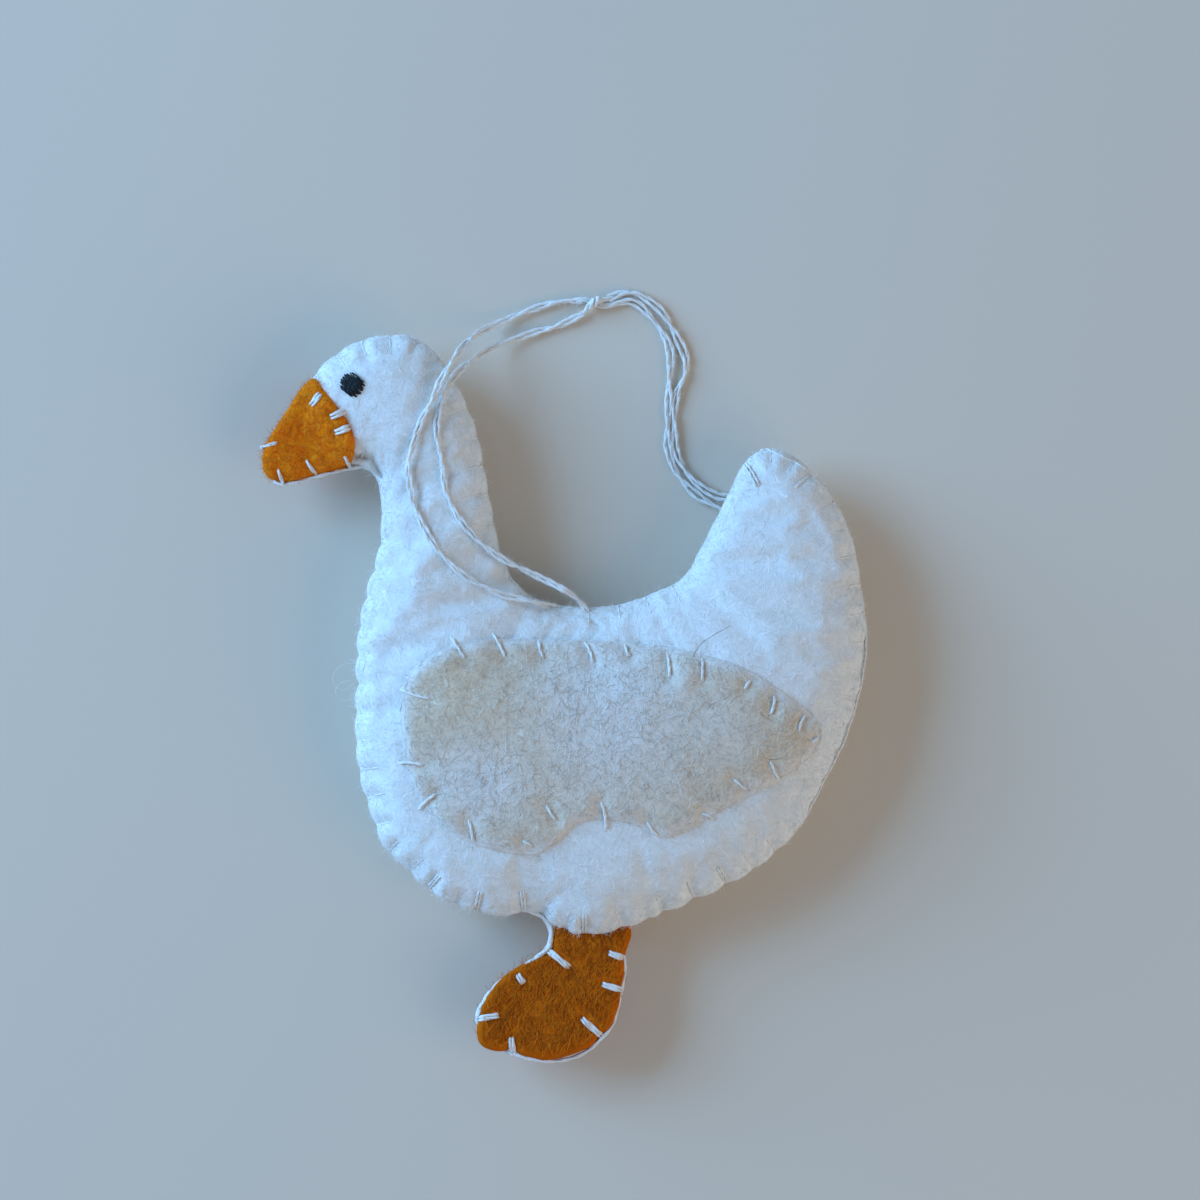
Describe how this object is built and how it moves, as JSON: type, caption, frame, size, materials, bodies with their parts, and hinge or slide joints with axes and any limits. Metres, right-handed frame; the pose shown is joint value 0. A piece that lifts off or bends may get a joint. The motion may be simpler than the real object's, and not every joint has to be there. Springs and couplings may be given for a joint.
{
  "type": "goose ornament",
  "caption": "Flat stuffed felt goose with sewn-on wings, beak and foot, blanket-stitched edges and a knotted hanging thread.",
  "frame": {"origin": "middle of the underside of the ornament's bounding box, measured without the hanging thread, with the goose lying on its back face", "axes": "+Z from the back face towards the viewer, through the ornament's thickness; +Y from the foot towards the top of the head; +X from the beak side towards the tail side"},
  "size_m": [0.092, 0.1172, 0.0151],
  "materials": {
    "ivory_felt": "matte",
    "oatmeal_felt": "matte",
    "orange_felt": "matte",
    "cotton_thread": "soft satin",
    "wool_stuffing": "matte",
    "dark_thread": "soft satin"
  },
  "bodies": {
    "goose": {"body_panel_front": "ivory_felt", "body_panel_back": "ivory_felt", "body_seam_thread": "cotton_thread", "wing_patch_front": "oatmeal_felt", "wing_thread_front": "cotton_thread", "wing_patch_back": "oatmeal_felt", "wing_thread_back": "cotton_thread", "beak_patch_front": "orange_felt", "beak_patch_back": "orange_felt", "beak_edge_thread": "cotton_thread", "beak_seam_thread": "cotton_thread", "eye_stitch_front": "dark_thread", "eye_stitch_back": "dark_thread", "foot_tab": "orange_felt", "belly_stuffing": "wool_stuffing", "neck_stuffing": "wool_stuffing", "tail_stuffing": "wool_stuffing", "hanger_anchor_stitch": "cotton_thread", "hanger_leg_a": "cotton_thread", "hanger_leg_b": "cotton_thread", "hanger_knot": "cotton_thread", "hanger_loop": "cotton_thread"},
    "foot": {"foot_panel_front": "orange_felt", "foot_panel_back": "orange_felt", "foot_edge_thread": "cotton_thread"}
  },
  "joints": [
    {"name": "foot_flex", "type": "hinge", "parent": "goose", "child": "foot", "pos_m": [0.00384, -0.03735, 0.00705], "axis": [1, 0, 0], "range_deg": [-50, 50], "stiffness_Nm_per_rad": 0.002}
  ]
}
